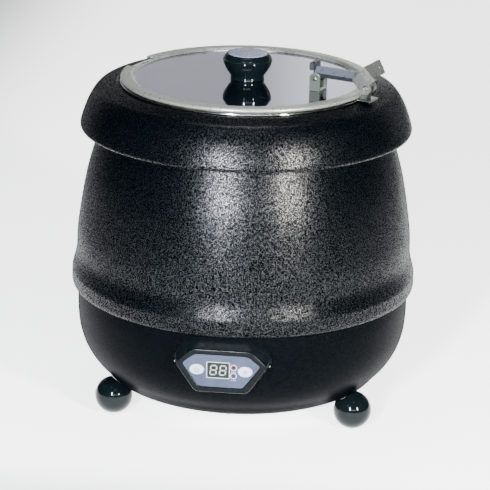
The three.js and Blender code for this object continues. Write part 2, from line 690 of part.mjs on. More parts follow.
const hinge = new THREE.Group();
hinge.position.set(OUTER_PIN_R, 0, OUTER_PIN_Z);
spoke(HINGE_AZIMUTH).add(hinge);
addTo(hinge, 'rim_clip', rimClip(), STEEL);
addTo(hinge, 'outer_pin', hingePin(7.6), BRUSHED);
addTo(hinge, 'hinge_arm', hingeArm(), STEEL);
addTo(hinge, 'arm_bumper', armBumper(), DARK_RUBBER);
addTo(hinge, 'inner_pin', hingePin(9.2), BRUSHED, { at: [INNER_X, 0, INNER_Z] });
addTo(hinge, 'lid_bracket', lidBracket(), STEEL);
[-1, 1].forEach((side, i) => {
  addTo(spoke(HINGE_AZIMUTH), `lid_rivet_${i + 1}`, lidRivet(), BRUSHED, { at: [INNER_PIN_R, side * RIVET_Y, 0] });
});

add('lid_panel', lidPanel(), STEEL);
add('knob', knob(), GLOSS_BLACK);
add('knob_insert', knobInsert(), GREY_PLASTIC);
add('knob_screw', knobScrew(), ZINC);

export default kettle;
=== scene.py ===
import math

import bmesh
import bpy
from mathutils import Matrix, Vector


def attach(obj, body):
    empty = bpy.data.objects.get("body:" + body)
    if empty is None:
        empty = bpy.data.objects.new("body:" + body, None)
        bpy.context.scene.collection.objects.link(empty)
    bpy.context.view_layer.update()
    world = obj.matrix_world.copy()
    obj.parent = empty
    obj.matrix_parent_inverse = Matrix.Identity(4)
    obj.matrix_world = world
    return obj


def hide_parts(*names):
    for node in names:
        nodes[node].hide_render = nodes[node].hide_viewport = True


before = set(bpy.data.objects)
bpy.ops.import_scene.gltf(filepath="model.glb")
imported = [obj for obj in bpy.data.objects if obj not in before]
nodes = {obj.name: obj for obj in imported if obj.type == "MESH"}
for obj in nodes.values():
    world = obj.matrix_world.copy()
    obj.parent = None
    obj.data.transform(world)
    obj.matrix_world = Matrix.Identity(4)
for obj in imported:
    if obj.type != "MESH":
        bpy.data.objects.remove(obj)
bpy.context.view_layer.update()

MM = 0.001

# ---------------------------------------------------------------- camera
CAMERA_DISTANCE = 2.4
CAMERA_ELEVATION = math.radians(18.73)
CAMERA_AZIMUTH = math.radians(-83.8)  # the panel, on -Y, is turned a little to the left
CAMERA_ROLL = math.radians(1.3)
CAMERA_LENS = 176.3  # on a 36 mm sensor
LOOK_AT = Vector((0, 0, 0.1594))
CAMERA_SHIFT = 0.0031  # the axis lies a little left of the middle


def make_camera():
    flat = math.cos(CAMERA_ELEVATION)
    away = Vector((
        flat * math.cos(CAMERA_AZIMUTH), flat * math.sin(CAMERA_AZIMUTH), math.sin(CAMERA_ELEVATION),
    ))
    data = bpy.data.cameras.new("camera")
    data.lens = CAMERA_LENS
    data.sensor_width = 36
    data.shift_x = CAMERA_SHIFT
    data.clip_end = 50
    camera = bpy.data.objects.new("camera", data)
    turn = away.to_track_quat("Z", "Y").to_matrix().to_4x4()
    roll = Matrix.Rotation(CAMERA_ROLL, 4, "Z")
    camera.matrix_world = Matrix.Translation(LOOK_AT + away * CAMERA_DISTANCE) @ turn @ roll
    bpy.context.scene.collection.objects.link(camera)
    bpy.context.scene.camera = camera


make_camera()


# ---------------------------------------------------------------- materials
class Look:
    """A node material with a Principled shader and shortcuts for the nodes around it."""

    def __init__(self, name):
        self.material = bpy.data.materials.new(name)
        self.material.use_nodes = True
        self.tree = self.material.node_tree
        self.shader = self.tree.nodes["Principled BSDF"]
        self.place = self.node("ShaderNodeTexCoord").outputs["Object"]

    def node(self, kind, **settings):
        made = self.tree.nodes.new(kind)
        for key, value in settings.items():
            if hasattr(made, key):
                setattr(made, key, value)
            else:
                made.inputs[key.replace("_", " ")].default_value = value
        return made

    def link(self, a, b):
        self.tree.links.new(a, b)

    def set(self, **values):
        for key, value in values.items():
            self.shader.inputs[key.replace("_", " ")].default_value = value

    def radius(self):
        """Distance from the axis of the kettle."""
        split = self.node("ShaderNodeSeparateXYZ")
        self.link(self.place, split.inputs["Vector"])
        flat = self.node("ShaderNodeCombineXYZ")
        self.link(split.outputs["X"], flat.inputs["X"])
        self.link(split.outputs["Y"], flat.inputs["Y"])
        radius = self.node("ShaderNodeVectorMath", operation="LENGTH")
        self.link(flat.outputs["Vector"], radius.inputs[0])
        return radius.outputs["Value"]

    def noise(self, scale, detail=2.0, roughness=0.5, stretch=None):
        texture = self.node("ShaderNodeTexNoise", Scale=scale, Detail=detail, Roughness=roughness)
        if stretch is None:
            self.link(self.place, texture.inputs["Vector"])
        else:
            mapping = self.node("ShaderNodeMapping")
            mapping.inputs["Scale"].default_value = stretch
            self.link(self.place, mapping.inputs["Vector"])
            self.link(mapping.outputs["Vector"], texture.inputs["Vector"])
        return texture.outputs["Fac"]

    def ramp(self, source, low, high, start=0.35, end=0.65):
        """Maps a 0 to 1 value to a range between two numbers or two colours."""
        if isinstance(low, (int, float)):
            low, high = (low,) * 3, (high,) * 3
        ramp = self.node("ShaderNodeValToRGB")
        ramp.color_ramp.elements[0].position = start
        ramp.color_ramp.elements[1].position = end
        ramp.color_ramp.elements[0].color = (*low, 1)
        ramp.color_ramp.elements[1].color = (*high, 1)
        self.link(source, ramp.inputs["Fac"])
        return ramp.outputs["Color"]

    def fade(self, source, start, end, low, high):
        """Goes smoothly from one strength to another as a coordinate goes from start to end."""
        fade = self.node("ShaderNodeMapRange", interpolation_type="SMOOTHSTEP")
        for name, value in (("From Min", start), ("From Max", end), ("To Min", low), ("To Max", high)):
            fade.inputs[name].default_value = value
        self.link(source, fade.inputs["Value"])
        return fade.outputs["Result"]

    def product(self, a, b):
        product = self.node("ShaderNodeMath", operation="MULTIPLY")
        self.link(a, product.inputs[0])
        self.link(b, product.inputs[1])
        return product.outputs["Value"]

    def colour(self, source, low, high, **span):
        self.link(self.ramp(source, low, high, **span), self.shader.inputs["Base Color"])

    def roughness(self, source, low, high, **span):
        self.link(self.ramp(source, low, high, **span), self.shader.inputs["Roughness"])

    def bump(self, source, distance, strength=1.0):
        """Adds a bump over any earlier one."""
        normal = self.shader.inputs["Normal"]
        bump = self.node("ShaderNodeBump", Strength=strength, Distance=distance)
        self.link(source, bump.inputs["Height"])
        if normal.is_linked:
            self.link(normal.links[0].from_socket, bump.inputs["Normal"])
        self.link(bump.outputs["Normal"], normal)


GRAZING_SHINE = 0.03  # the beads shade each other where the surface turns away


def hammered_black(name, grain, depth, base, rough, shine):
    """Powder coat with a fine hammered grain: bright beads on a dull ground."""
    look = Look(name)
    grain_noise = look.noise(grain, detail=1.0, roughness=0.5)
    fine_noise = look.noise(grain * 2.2, detail=1.0)
    beads = look.ramp(grain_noise, 0.0, 1.0, start=0.46, end=0.62)
    level = look.fade(beads, 0.0, 1.0, *shine)
    facing = look.node("ShaderNodeLayerWeight", Blend=0.35).outputs["Facing"]
    level = look.product(level, look.fade(facing, 0.4, 0.85, 1.0, GRAZING_SHINE))
    look.link(level, look.shader.inputs["Specular IOR Level"])
    look.colour(beads, base, [c * 4 for c in base], start=0.0, end=1.0)
    look.roughness(fine_noise, rough * 0.85, rough * 1.2)
    look.bump(grain_noise, depth * MM)
    return look.material


def smooth_plastic(name, base, rough, grain=0.0, shine=0.3):
    look = Look(name)
    look.set(Specular_IOR_Level=shine)
    look.colour(look.noise(90, detail=2.0), [c * 0.9 for c in base], [min(1, c * 1.12) for c in base])
    look.roughness(look.noise(160, detail=3.0), rough * 0.85, rough * 1.2)
    if grain:
        look.bump(look.noise(1800, detail=2.0), grain * MM)
    return look.material


def steel(name, tint, rough, wave=0.0, brushed=None):
    """Stainless steel: mirror bright, or brushed along one direction, with faint handling marks."""
    look = Look(name)
    look.set(Metallic=1.0)
    look.colour(look.noise(35, detail=3.0), [c * 0.95 for c in tint], tint)
    look.roughness(look.noise(220, detail=4.0), rough * 0.7, rough * 1.5)
    if wave:
        look.bump(look.noise(14, detail=1.0), wave * MM)
    if brushed:
        look.bump(look.noise(900, detail=3.0, stretch=brushed), 0.02 * MM)
    return look.material


def lid_steel(tint, rim_tint):
    """A mirror bright lid whose rolled rim is a little duller and warmer."""
    look = Look("lid_steel")
    rim = look.fade(look.radius(), 109 * MM, 111 * MM, 0.0, 1.0)
    look.link(look.fade(rim, 0.0, 1.0, 1.0, 0.7), look.shader.inputs["Metallic"])
    look.colour(rim, tint, rim_tint, start=0.0, end=1.0)
    marks = look.fade(look.noise(220, detail=4.0), 0.35, 0.65, 0.9, 1.15)
    look.link(look.product(look.fade(rim, 0.0, 1.0, 0.035, 0.30), marks), look.shader.inputs["Roughness"])
    look.bump(look.noise(14, detail=1.0), 0.01 * MM)
    return look.material


def satin_steel(name, inner_tint, outer_tint, rough):
    """Pressed steel, partly dulled: one tint near the knob, with a painted highlight that makes it lighter
    where it faces up, another by the rim.
    """
    look = Look(name)
    look.set(Metallic=0.5)
    outward = look.fade(look.radius(), 116 * MM, 119 * MM, 0.0, 1.0)
    up = look.node("ShaderNodeSeparateXYZ")
    look.link(look.node("ShaderNodeTexCoord").outputs["Normal"], up.inputs["Vector"])
    tint = look.node("ShaderNodeMix", data_type="RGBA")
    look.link(outward, tint.inputs[0])
    # painted highlight: near the knob the tint goes up to six times lighter where the surface faces up,
    # standing in for key light falling on top faces
    inner = look.ramp(up.outputs["Z"], inner_tint, [c * 6 for c in inner_tint], start=0.3, end=0.65)
    colour_inputs = [socket for socket in tint.inputs if socket.type == "RGBA"]
    look.link(inner, colour_inputs[0])
    colour_inputs[1].default_value = (*outer_tint, 1)
    colour_output = next(socket for socket in tint.outputs if socket.type == "RGBA")
    look.link(colour_output, look.shader.inputs["Base Color"])
    look.roughness(look.noise(240, detail=2.0), rough * 0.8, rough * 1.25)
    return look.material


looks = {
    "textured_black": hammered_black(
        "textured_black", 1150, 0.14, (0.0002, 0.0004, 0.0006), 0.27, (0.0, 0.36),
    ),
    "bowl_black": hammered_black(
        "bowl_black", 1000, 0.05, (0.0003, 0.0005, 0.0007), 0.34, (0.008, 0.02),
    ),
    "gloss_black": smooth_plastic("gloss_black", (0.0015, 0.003, 0.0035), 0.06, shine=0.16),
    "panel_black": smooth_plastic("panel_black", (0.0015, 0.0025, 0.003), 0.24, shine=0.08),
    "satin_black": smooth_plastic("satin_black", (0.020, 0.023, 0.027), 0.24, grain=0.01),
    "lid_steel": lid_steel((0.45, 0.46, 0.56), (0.30, 0.31, 0.27)),
    "polished_steel": steel("polished_steel", (0.80, 0.82, 0.80), 0.09, wave=0.02),
    # arm_steel and clip_steel both carry the painted highlight on faces that point up
    "arm_steel": satin_steel("arm_steel", (0.015, 0.017, 0.021), (0.08, 0.085, 0.078), 0.3),
    "clip_steel": satin_steel("clip_steel", (0.09, 0.105, 0.085), (0.04, 0.046, 0.04), 0.2),
    "brushed_steel": steel("brushed_steel", (0.60, 0.61, 0.63), 0.28, brushed=(1, 1, 0.05)),
    "pin_steel": steel("pin_steel", (0.30, 0.29, 0.27), 0.35),
    "zinc": steel("zinc", (0.50, 0.51, 0.52), 0.35),
    "label_blue": smooth_plastic("label_blue", (0.034, 0.041, 0.064), 0.38, shine=0.06),
    "mark_white": smooth_plastic("mark_white", (0.26, 0.28, 0.34), 0.4, shine=0.1),
    "button_white": smooth_plastic("button_white", (0.30, 0.33, 0.39), 0.35, shine=0.15),
    "grey_plastic": smooth_plastic("grey_plastic", (0.05, 0.057, 0.075), 0.3, shine=0.2),
    "insert_grey": smooth_plastic("insert_grey", (0.13, 0.14, 0.20), 0.25, shine=0.25),
    "display_window": smooth_plastic("display_window", (0.010, 0.013, 0.013), 0.14, shine=0.1),
    "display_digit": smooth_plastic("display_digit", (0.22, 0.24, 0.20), 0.35, shine=0.1),
    "lens_red": smooth_plastic("lens_red", (0.05, 0.016, 0.014), 0.12),
    "lens_dark": smooth_plastic("lens_dark", (0.025, 0.03, 0.036), 0.12),
    "board_green": smooth_plastic("board_green", (0.03, 0.14, 0.07), 0.35),
    "rubber_black": smooth_plastic("rubber_black", (0.013, 0.013, 0.013), 0.55, grain=0.02),
}


# ---------------------------------------------------------------- mesh helpers
def curve_through(points, steps=6):
    """A smooth run through the points (centripetal Catmull-Rom)."""
    ends = [Vector(p) for p in points]
    run = [ends[0] * 2 - ends[1]] + ends + [ends[-1] * 2 - ends[-2]]
    smooth = []
    for before, a, b, after in zip(run, run[1:], run[2:], run[3:]):
        knots = [0.0]
        for p, q in ((before, a), (a, b), (b, after)):
            knots.append(knots[-1] + max((q - p).length, 1e-6) ** 0.5)
        for i in range(steps):
            t = knots[1] + (knots[2] - knots[1]) * i / steps
            first = before.lerp(a, (t - knots[0]) / (knots[1] - knots[0]))
            second = a.lerp(b, (t - knots[1]) / (knots[2] - knots[1]))
            third = b.lerp(after, (t - knots[2]) / (knots[3] - knots[2]))
            left = first.lerp(second, (t - knots[0]) / (knots[2] - knots[0]))
            right = second.lerp(third, (t - knots[1]) / (knots[3] - knots[1]))
            smooth.append(left.lerp(right, (t - knots[1]) / (knots[2] - knots[1])))
    return [tuple(p) for p in smooth] + [tuple(ends[-1])]


def filleted(points, radius, steps=4, closed=True):
    """Rounds each corner of an outline, using less than the radius where a side is short."""
    corners = [Vector(p) for p in points]
    made = []
    for i, corner in enumerate(corners):
        if not closed and i in (0, len(corners) - 1):
            made.append(tuple(corner))
            continue
        before, after = corners[i - 1], corners[(i + 1) % len(corners)]
        into, out = before - corner, after - corner
        reach = min(radius, into.length * 0.45, out.length * 0.45)
        start, end = corner + into.normalized() * reach, corner + out.normalized() * reach
        for k in range(steps + 1):
            t = k / steps
            made.append(tuple(start.lerp(corner, t).lerp(corner.lerp(end, t), t)))
    return made


def new_object(name, verts, faces, sharp=30):
    mesh = bpy.data.meshes.new(name)
    mesh.from_pydata([tuple(c * MM for c in v) for v in verts], [], faces)
    mesh.validate()
    made = bpy.data.objects.new(name, mesh)
    bpy.context.scene.collection.objects.link(made)
    tidy_shading(made, sharp)
    return made


def tidy_shading(made, sharp=30):
    """Faces outward, smooth shading, with edges kept crisp above an angle."""
    work = bmesh.new()
    work.from_mesh(made.data)
    bmesh.ops.remove_doubles(work, verts=work.verts, dist=1e-7)
    bmesh.ops.recalc_face_normals(work, faces=work.faces)
    for edge in work.edges:
        edge.smooth = not (edge.is_manifold and edge.calc_face_angle(0) > math.radians(sharp))
    for face in work.faces:
        face.smooth = True
    work.to_mesh(made.data)
    work.free()


def turned(name, outline, facets=192, sharp=30):
    """A piece turned about Z from an outline of (radius, height), closed on itself or on the axis."""
    verts, rings = [], []
    for radius, height in outline:
        if radius < 1e-6:
            rings.append([len(verts)] * facets)
            verts.append((0, 0, height))
            continue
        rings.append(list(range(len(verts), len(verts) + facets)))
        for i in range(facets):
            angle = 2 * math.pi * i / facets
            verts.append((radius * math.cos(angle), radius * math.sin(angle), height))
    pairs = list(zip(rings, rings[1:]))
    if outline[0][0] > 1e-6 or outline[-1][0] > 1e-6:
        pairs.append((rings[-1], rings[0]))
    faces = []
    for low, high in pairs:
        for i in range(facets):
            j = (i + 1) % facets
            face = [low[i], low[j], high[j], high[i]]
            face = [v for k, v in enumerate(face) if v not in face[:k]]
            if len(face) > 2:
                faces.append(face)
    return new_object(name, verts, faces, sharp)


def prism(name, outline, low, high, round_edge=0.0, steps=3):
    """Extrudes an outline of (x, z) along Y, its front at low, with rounded edges."""
    verts, faces = [], []
    middle = Vector((sum(p[0] for p in outline), sum(p[1] for p in outline))) / len(outline)

    def ring(depth, inset):
        start = len(verts)
        for i, point in enumerate(outline):
            p, a, b = Vector(point), Vector(outline[i - 1]), Vector(outline[(i + 1) % len(outline)])
            along = (b - a).normalized()
            inward = Vector((-along.y, along.x))
            if inward.dot(middle - p) < 0:
                inward.negate()
            q = p + inward * inset
            verts.append((q.x, depth, q.y))
        return list(range(start, start + len(outline)))

    rings = []
    for k in range(steps + 1) if round_edge else [0]:
        angle = math.pi / 2 * k / steps if round_edge else 0
        rings.append(ring(low + round_edge * (1 - math.sin(angle)), round_edge * (1 - math.cos(angle))))
    rings.reverse()
    rings.append(ring(high, 0))
    count = len(outline)
    for a, b in zip(rings, rings[1:]):
        faces += [[a[i], a[(i + 1) % count], b[(i + 1) % count], b[i]] for i in range(count)]
    faces += [rings[0][::-1], rings[-1]]
    return new_object(name, verts, faces)


def cut(target, *cutters):
    """Cuts pieces from a piece, then removes the cutters."""
    for cutter in cutters:
        modifier = target.modifiers.new("cut", "BOOLEAN")
        modifier.object = cutter
        modifier.solver = "EXACT"
        bpy.context.view_layer.objects.active = target
        bpy.ops.object.modifier_apply(modifier=modifier.name)
    for cutter in cutters:
        bpy.data.objects.remove(cutter)
    tidy_shading(target)


def finish_piece(piece, body, look, replaces=()):
    piece.data.materials.clear()
    piece.data.materials.append(looks[look])
    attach(piece, body)
    if replaces:
        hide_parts(*replaces)
    return piece


# ---------------------------------------------------------------- casing
BOWL = [
    (107, 21.4), (122, 27.4), (134.7, 33.4), (141.8, 41.4), (150.7, 51.4), (158.2, 64.4), (162.9, 79.4),
    (164.6, 94.4), (164.8, 109.4), (164, 121), (163.6, 136),
]
PANEL_Y = -172
PANEL_MID_Z = 97.7
BUTTON_X = 23
BUTTON_Z = 92
GLAND_Z = 102
FEET = (-30, -150, 90)
FOOT_R = 18.75
FOOT_CENTRE = 137.5
FOOT_Z = 18.3
FOOT_LEAN = math.radians(25.3)  # the stud stands square to the bowl's slope
FOOT_STEPS = 48


def bowl_solid(margin=0.0):
    """The outside of the bowl, grown by a margin, as one solid."""
    outside = [(r + margin, z - margin * 0.7) for r, z in curve_through(BOWL)]
    floor = 21.4 - margin
    return turned("bowl_solid", [(0, floor), (outside[0][0], floor)] + outside[1:] + [(0, 136)])


def cylinder_along(name, radius, start, end, facets=48):
    """A cutter: a cylinder between two points, in millimetres."""
    start, end = Vector(start), Vector(end)
    length = (end - start).length
    made = turned(name, [(0, 0), (radius, 0), (radius, length), (0, length)], facets)
    turn = (end - start).to_track_quat("Z", "Y").to_matrix().to_4x4()
    made.data.transform(Matrix.Translation(start * MM) @ turn)
    return made


def box_between(name, low, high):
    outline = [(low[0], low[2]), (high[0], low[2]), (high[0], high[2]), (low[0], high[2])]
    return prism(name, outline, low[1], high[1])


def make_bowl():
    outside = curve_through(BOWL)
    inside = [(r - 1.5, z + (1.4 if z < 60 else 0)) for r, z in outside]
    outline = [(92, 21.4)] + outside + inside[::-1] + [(92, 22.8)]
    bowl = turned("bowl_fine", outline, facets=256)
    window = prism("window", [(-35, 82), (35, 82), (36.5, 103.5), (-36.5, 103.5)], -175, -140)
    gland = cylinder_along("gland_hole", 8.4, (0, 150, GLAND_Z), (0, 175, GLAND_Z))
    cut(bowl, window, gland)
    return finish_piece(bowl, "housing", "bowl_black", ["lower_shell"])


def make_upper_shell():
    skirt = curve_through([(167, 123.8), (169.7, 125.0), (170.8, 128), (170.8, 134), (170.7, 139.6)])
    side = curve_through([
        (170.7, 139.6), (170.2, 141.8), (168.4, 148.5), (166.8, 155), (166.2, 160), (165.4, 179.4),
        (162.8, 199.4), (159.6, 219.4), (155.6, 239.4), (150.1, 259.4), (145, 274.5), (142, 283.7),
    ])
    inside = [
        (133, 283.7), (133, 282.2), (140.6, 282.2), (148.5, 259), (158, 219.2), (163.8, 176), (164.6, 158),
        (168.6, 141), (169.2, 129.6), (165.4, 125.4), (165.4, 123.8),
    ]
    shell = turned("casing_fine", skirt + side[1:] + inside, facets=256)
    return finish_piece(shell, "housing", "textured_black", ["upper_shell"])


def make_collar():
    outside = filleted([
        (160.3, 284.2), (162, 284.2), (163, 286.4), (161.5, 292.4), (158.5, 301.4), (155, 309.4),
        (151, 316.4), (147, 321.4), (143.6, 323.5), (129.6, 327.7), (128, 328), (126.4, 327.6),
        (125.6, 327), (121.6, 327),
    ], 6, closed=False)
    inside = [
        (121.6, 325), (134, 321.6), (134, 287.6), (139.5, 287.6), (139.5, 290), (136.2, 290), (136.2, 320.6),
        (143, 319.2), (149, 314.4), (156.4, 300.2), (160.6, 287),
    ]
    collar = turned("collar_fine", outside + inside, facets=256, sharp=40)
    return finish_piece(collar, "housing", "textured_black", ["collar"])


def make_feet():
    for index, azimuth in enumerate(FEET):
        profile = []
        for step in range(FOOT_STEPS + 1):
            angle = math.pi * (step / FOOT_STEPS - 0.5)
            radius = abs(FOOT_R * math.cos(angle)) if 0 < step < FOOT_STEPS else 0
            profile.append((radius, FOOT_R * math.sin(angle)))
        ball = turned(f"foot_fine_{index + 1}", profile, facets=96)
        centre = Vector((FOOT_CENTRE, 0, FOOT_Z))
        centre.rotate(Matrix.Rotation(math.radians(azimuth), 3, "Z"))
        ball.data.transform(Matrix.Translation(centre * MM))
        x, y, _ = centre
        lean = Vector((-math.sin(FOOT_LEAN), 0, math.cos(FOOT_LEAN)))
        lean.rotate(Matrix.Rotation(math.radians(azimuth), 3, "Z"))
        stud_way = cylinder_along("stud_way", 3.3, centre - lean * 15, centre + lean * 22)
        floor_cut = box_between("floor_cut", (x - 30, y - 30, -10), (x + 30, y + 30, 0))
        cut(ball, bowl_solid(0.3), floor_cut, stud_way)
        finish_piece(ball, "housing", "gloss_black", [f"foot_ball_{index + 1}"])


make_bowl()
make_upper_shell()
make_collar()
make_feet()


# ---------------------------------------------------------------- control panel
def panel_outline(grow, corner):
    """The label's outline, grown: long slopes up to the widest line, short slopes on to the top edge."""
    top = PANEL_MID_Z + 9.3 + grow
    bottom = PANEL_MID_Z - 22.7 - grow
    high, wide, low = 25.2 + grow * 0.55, 37.3 + grow * 1.25, 20.8 + grow * 0.75
    shoulder = ((high + wide) / 2, (top + PANEL_MID_Z) / 2)
    right = [(low, bottom), (wide, PANEL_MID_Z), shoulder, (high, top)]
    return filleted(right + [(-x, z) for x, z in reversed(right)], corner, steps=6)


def flare_outline():
    """Where the housing meets the bowl: taller and fuller, with an arched top."""
    right = [(27, 67), (48, 98), (44.5, 111), (27, 122.5)]
    return filleted(right + [(-x, z) for x, z in reversed(right)], 9, steps=6)


def oval(half_width, half_height, x, z, count=64):
    turns = [2 * math.pi * i / count for i in range(count)]
    return [(x + half_width * math.cos(t), z + half_height * math.sin(t)) for t in turns]


def rounded_box(half_width, half_height, x, z, corner):
    corners = [(-1, -1), (1, -1), (1, 1), (-1, 1)]
    return filleted([(x + half_width * a, z + half_height * b) for a, b in corners], corner, steps=5)


def loft(name, rings, sharp=30):
    """Joins (depth, outline) rings of equal length into one closed piece, the outlines in (x, z)."""
    verts = [(x, depth, z) for depth, outline in rings for x, z in outline]
    count = len(rings[0][1])
    faces = [list(range(count))[::-1], [len(verts) - count + i for i in range(count)]]
    for ring in range(len(rings) - 1):
        for i in range(count):
            a, b = ring * count + i, ring * count + (i + 1) % count
            faces.append([a, b, b + count, a + count])
    return new_object(name, verts, faces, sharp)


WINDOW_X, WINDOW_Z = -2.7, 92.2
INDICATORS = ((12, 95.4), (12, 87.2))


def panel_cutters(low, high, grow):
    window = rounded_box(11.2 + grow, 8.3 + grow, WINDOW_X, WINDOW_Z, 0.8)
    made = [prism("window_cut", window, low, high)]
    for x in (-BUTTON_X, BUTTON_X):
        made.append(prism("button_cut", oval(7 + grow, 5.2 + grow, x, BUTTON_Z), low, high))
    made += [prism("lamp_cut", oval(2 + grow, 2 + grow, x, z, 32), low, high) for x, z in INDICATORS]
    return made


def make_housing():
    flare = flare_outline()
    lip = panel_outline(0.3, 3.2)
    rings = [(-171.0, lip), (-172.2, lip), (-172.5, panel_outline(0.7, 3.4))]
    for angle in range(0, 91, 15):
        turn = math.radians(angle)
        rings.append((-171.2 - 1.4 * math.cos(turn), panel_outline(4.2 + 1.4 * math.sin(turn), 4.6)))
    last = rings[-1]
    for step in range(1, 9):
        part = step / 8
        swell = part + 0.10 * math.sin(math.pi * part)
        mixed = [tuple(Vector(p).lerp(Vector(q), swell)) for p, q in zip(last[1], flare)]
        rings.append((last[0] + (-160 - last[0]) * part, mixed))
    rings.append((-142, flare))
    housing = loft("housing_fine", rings, sharp=50)
    cavity = box_between("cavity", (-34, -168.6, 82), (34, -130, 103))
    cut(housing, bowl_solid(0.3), cavity, *panel_cutters(-180, -160, 0.3))
    return finish_piece(housing, "housing", "panel_black", ["control_housing"])


def make_label():
    label = prism("label_fine", panel_outline(0, 3), PANEL_Y, PANEL_Y + 0.8, round_edge=0.25)
    cut(label, *panel_cutters(-175, -168, 0.25))
    return finish_piece(label, "housing", "label_blue", ["control_label"])


def make_button(name, x):
    cap = loft(name + "_fine", [
        (PANEL_Y - 1.1, oval(4.6, 3.0, x, BUTTON_Z)), (PANEL_Y - 1.05, oval(5.6, 3.9, x, BUTTON_Z)),
        (PANEL_Y - 0.85, oval(6.4, 4.65, x, BUTTON_Z)), (PANEL_Y - 0.5, oval(6.85, 5.05, x, BUTTON_Z)),
        (PANEL_Y, oval(7, 5.2, x, BUTTON_Z)), (-168.3, oval(7, 5.2, x, BUTTON_Z)),
        (-168.3, oval(8, 6.2, x, BUTTON_Z)), (-166.8, oval(8, 6.2, x, BUTTON_Z)),
    ])
    return finish_piece(cap, name, "button_white", [name])


def ring_mark(name, outer, inner, depth, look, body="housing", high=0.05):
    """A flat ring between two outlines of equal length, standing just in front of the label."""
    count = len(outer)
    verts = []
    for y in (depth, depth - high):
        verts += [(x, y, z) for x, z in outer] + [(x, y, z) for x, z in inner]
    faces = []
    for i in range(count):
        j = (i + 1) % count
        faces.append([i, j, count + j, count + i])
        faces.append([2 * count + i, 2 * count + j, 3 * count + j, 3 * count + i])
        faces.append([i, j, 2 * count + j, 2 * count + i])
        faces.append([count + i, count + j, 3 * count + j, 3 * count + i])
    return finish_piece(new_object(name, verts, faces), body, look)


def bar_mark(name, x, z, width, height, depth, look, body="housing", slant=0.0):
    """A flat bar or block printed just in front of a face."""
    left, right = x - width / 2, x + width / 2
    low, high = z - height / 2, z + height / 2
    corners = [(left, low), (right, low), (right + slant, high), (left + slant, high)]
    outline = filleted(corners, min(width, height) * 0.3, steps=2)
    return finish_piece(prism(name, outline, depth - 0.05, depth), body, look)


def make_display():
    front = PANEL_Y - 0.15
    window = rounded_box(11.1, 8.2, WINDOW_X, WINDOW_Z, 0.8)
    glass = prism("window_fine", window, front, -169.7, round_edge=0.12)
    finish_piece(glass, "housing", "display_window", ["display_window"])
    ring_mark(
        "display_frame", rounded_box(11.2, 8.3, WINDOW_X, WINDOW_Z, 1.4),
        rounded_box(10.4, 7.5, WINDOW_X, WINDOW_Z, 1.0), front, "mark_white",
    )
    lean = 0.12
    for digit, x in enumerate((WINDOW_X - 4.6, WINDOW_X + 4.4)):
        for level, z in enumerate((-4.6, 0, 4.6)):
            name = f"digit_{digit}_across_{level}"
            bar_mark(name, x + z * lean, WINDOW_Z + z, 4.6, 1.15, front, "display_digit")
        for side in (-1, 1):
            for level, z in enumerate((-2.3, 2.3)):
                name = f"digit_{digit}_upright_{level}_{'left' if side < 0 else 'right'}"
                place = x + side * 2.75 + z * lean
                bar_mark(name, place, WINDOW_Z + z, 1.15, 3.5, front, "display_digit", slant=2.3 * lean)


def make_marks():
    """Plain printed marks on the label and the button icons; there is no lettering."""
    face = PANEL_Y
    for index, (x, z) in enumerate(INDICATORS):
        outer, inner = oval(3.2, 3.2, x, z, 32), oval(2.3, 2.3, x, z, 32)
        ring_mark(f"lamp_ring_{index + 1}", outer, inner, face, "mark_white")
        for dash in range(3):
            name = f"lamp_dash_{index}_{dash}"
            bar_mark(name, x - 1.8 + dash * 1.8, z - 4.4, 1.1, 0.55, face, "mark_white")
    crown = PANEL_Y - 1.1
    arc = [math.radians(a) for a in range(-235, 56, 10)]
    outer = [(-BUTTON_X + 2.3 * math.cos(a), BUTTON_Z - 0.2 + 2.3 * math.sin(a)) for a in arc]
    inner = [(-BUTTON_X + 1.7 * math.cos(a), BUTTON_Z - 0.2 + 1.7 * math.sin(a)) for a in reversed(arc)]
    icon = prism("power_arc", outer + inner, crown - 0.05, crown)
    finish_piece(icon, "power_button", "grey_plastic")
    bar_mark("power_bar", -BUTTON_X, BUTTON_Z + 1.4, 0.65, 2.4, crown, "grey_plastic", "power_button")
    for row, width in enumerate((3.6, 2.4, 3.6)):
        z = BUTTON_Z + 1.2 - row * 1.2
        bar_mark(f"set_bar_{row}", BUTTON_X, z, width, 0.5, crown, "grey_plastic", "set_button")


make_housing()
make_label()
make_button("power_button", -BUTTON_X)
make_button("set_button", BUTTON_X)
make_display()
make_marks()


# ---------------------------------------------------------------- pot, lid and knob
def make_pot():
    outline = filleted([
        (120.5, 104), (120.5, 326.3), (121, 327.3), (124.2, 327.3), (124.2, 329.3), (120.6, 329.3),
        (119.5, 328.3), (119.5, 104.4),
    ], 0.6, closed=False)
    bottom = [(119.3, 98.8), (115.5, 94.4), (108.5, 92), (0, 92)]
    inside_bottom = [(118.3, 99.6), (114.9, 95.4), (108.3, 93), (0, 93)]
    pot = turned("pot_fine", bottom[::-1] + outline + inside_bottom, facets=256)
    return finish_piece(pot, "pot", "polished_steel", ["soup_pot"])


def turned_about(made, azimuth):
    made.data.transform(Matrix.Rotation(math.radians(azimuth), 4, "Z"))
    return made


def flat_solid(name, outline, low, high):
    """A cutter drawn in plan, between two heights."""
    made = prism(name, outline, -high, -low)
    made.data.transform(Matrix.Rotation(math.radians(-90), 4, "X"))
    return made


NOTCH_AZIMUTH = 162
HINGE_AZIMUTH = -22
RIVET_DISTANCE = 77.5
RIVET_OFFSET = 3.4


